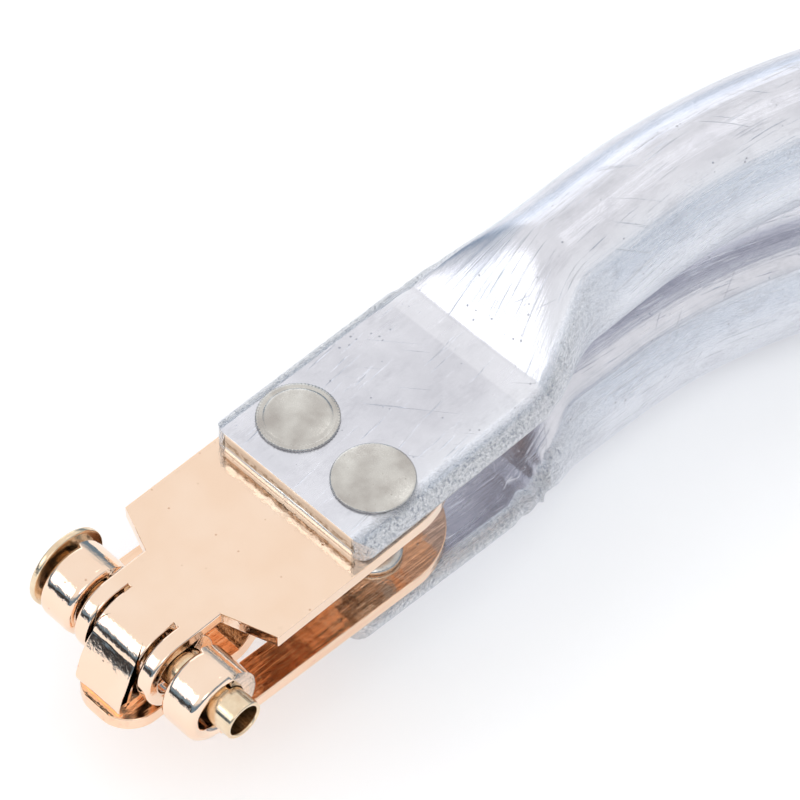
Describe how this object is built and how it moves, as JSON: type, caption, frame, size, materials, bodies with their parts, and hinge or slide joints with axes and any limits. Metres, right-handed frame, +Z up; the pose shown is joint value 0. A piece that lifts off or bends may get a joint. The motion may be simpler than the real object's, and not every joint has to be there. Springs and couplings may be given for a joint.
{
  "type": "folding bag frame",
  "caption": "Folding tubular bag-mouth frame: flattened, riveted aluminium U tubes on copper-plated detent hinges with loose hollow pins.",
  "frame": {"origin": "middle of the object's footprint, on the surface that the lower tube lies on", "axes": "+X along the hinge axis, +Y from the hinges to the cross bars, +Z up from the lower tube to the upper one"},
  "size_m": [0.2458, 0.1012, 0.0266],
  "materials": {
    "tube": "satin drawn aluminium, scuffed, with polished press marks",
    "leaf": "bright copper (rose gold) plating on steel",
    "pin": "bright thin-walled brass tube",
    "rivet": "satin nickel-plated steel"
  },
  "bodies": {
    "lower_frame": {"lower_tube": "tube", "left_lower_leaf": "leaf", "right_lower_leaf": "leaf", "left_lower_outer_rivet": "rivet", "left_lower_inner_rivet": "rivet", "right_lower_outer_rivet": "rivet", "right_lower_inner_rivet": "rivet"},
    "upper_frame": {"upper_tube": "tube", "left_upper_leaf": "leaf", "right_upper_leaf": "leaf", "left_detent_nose": "leaf", "right_detent_nose": "leaf", "left_upper_outer_rivet": "rivet", "left_upper_inner_rivet": "rivet", "right_upper_outer_rivet": "rivet", "right_upper_inner_rivet": "rivet"},
    "left_pin": {"left_hinge_pin": "pin"},
    "right_pin": {"right_hinge_pin": "pin"}
  },
  "joints": [
    {"name": "frame_fold", "type": "hinge", "parent": "lower_frame", "child": "upper_frame", "pos_m": [0, -0.0464, 0.0101], "axis": [1, 0, 0], "range_deg": [-4, 114], "deforming": ["left_detent_nose", "right_detent_nose"]},
    {"name": "left_pin_pull", "type": "slide", "parent": "lower_frame", "child": "left_pin", "axis": [-1, 0, 0], "range_m": [0, 0.018]},
    {"name": "right_pin_pull", "type": "slide", "parent": "lower_frame", "child": "right_pin", "axis": [1, 0, 0], "range_m": [0, 0.018]}
  ]
}
